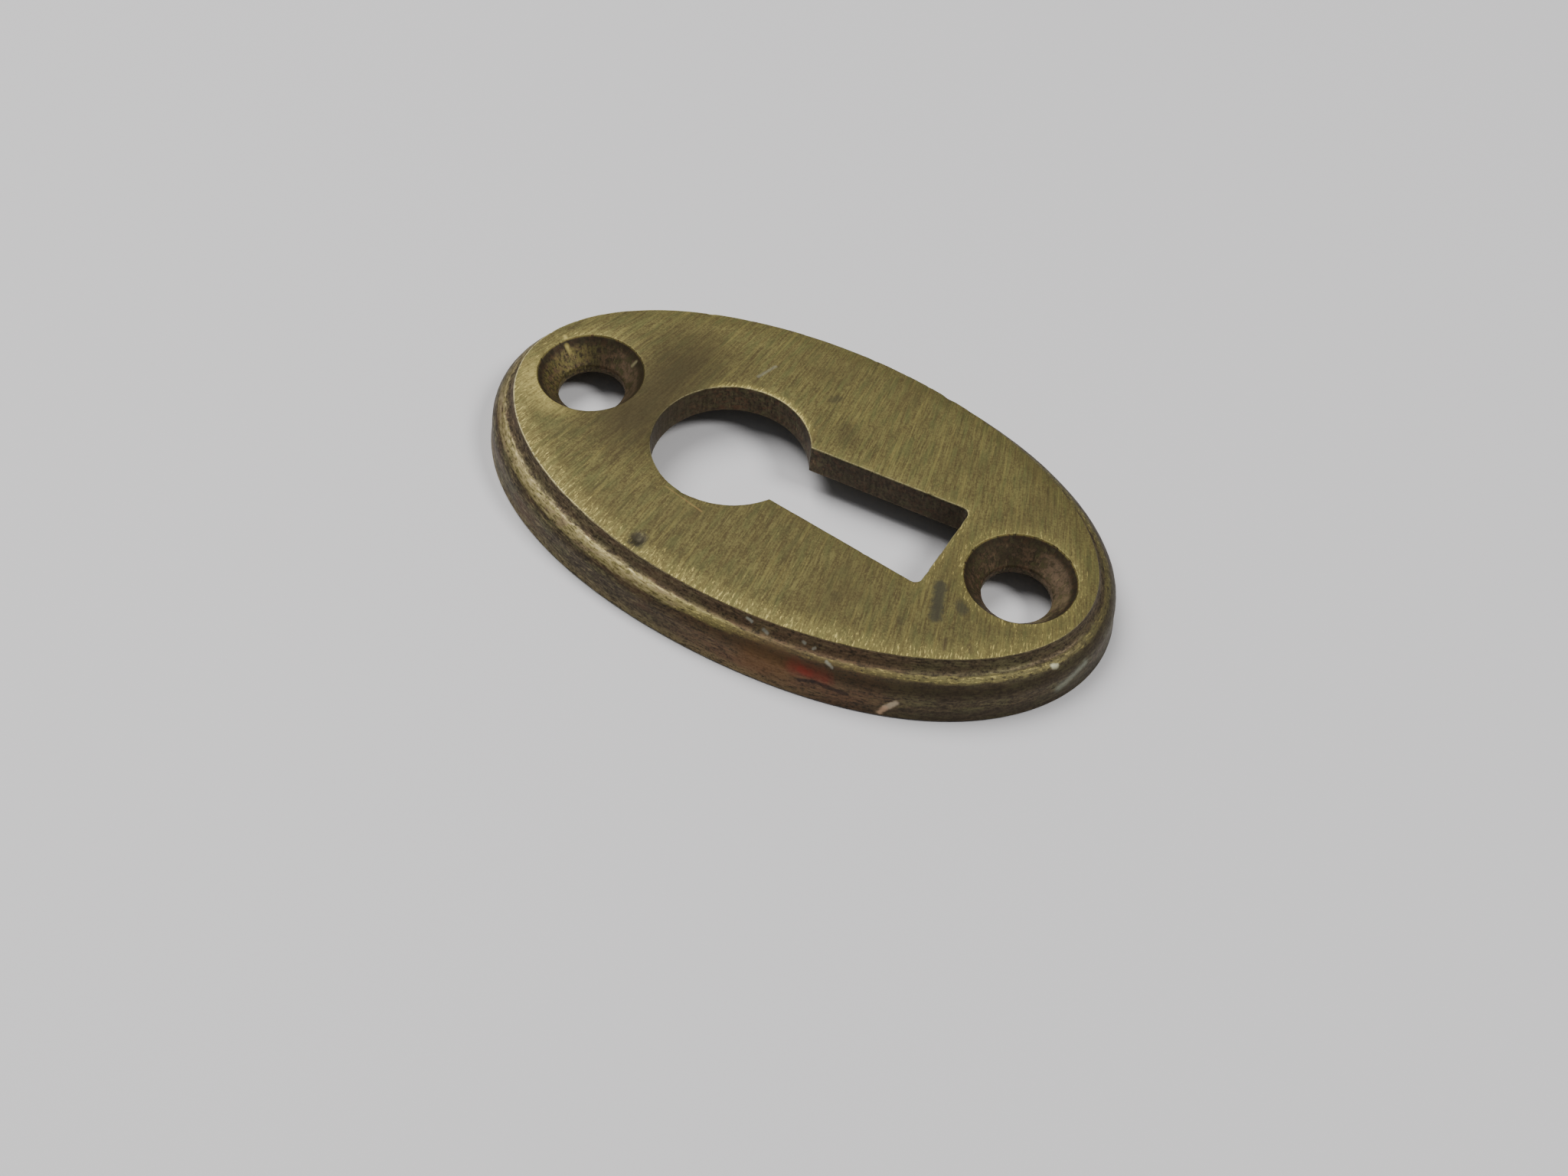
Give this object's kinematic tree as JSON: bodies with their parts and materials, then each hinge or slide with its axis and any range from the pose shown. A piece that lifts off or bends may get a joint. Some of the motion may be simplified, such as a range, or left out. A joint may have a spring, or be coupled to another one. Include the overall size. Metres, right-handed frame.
{
  "type": "keyhole escutcheon",
  "caption": "Oval cast brass keyhole plate with a moulded rim, a flared keyhole slot, countersunk screw holes and a hollow back.",
  "frame": {"origin": "middle of the back, at the level of the rim that lies against the door", "axes": "+X along the plate's length, from the keyhole's round head to its slot; +Z out of the face, away from the door"},
  "size_m": [0.0492, 0.0294, 0.0044],
  "materials": {
    "aged_brass": "cast brass, filed flat on the face and aged to a dull olive, with dark brown tarnish in the moulding and the holes"
  },
  "bodies": {
    "root": {"escutcheon_plate": "aged_brass"}
  },
  "joints": []
}
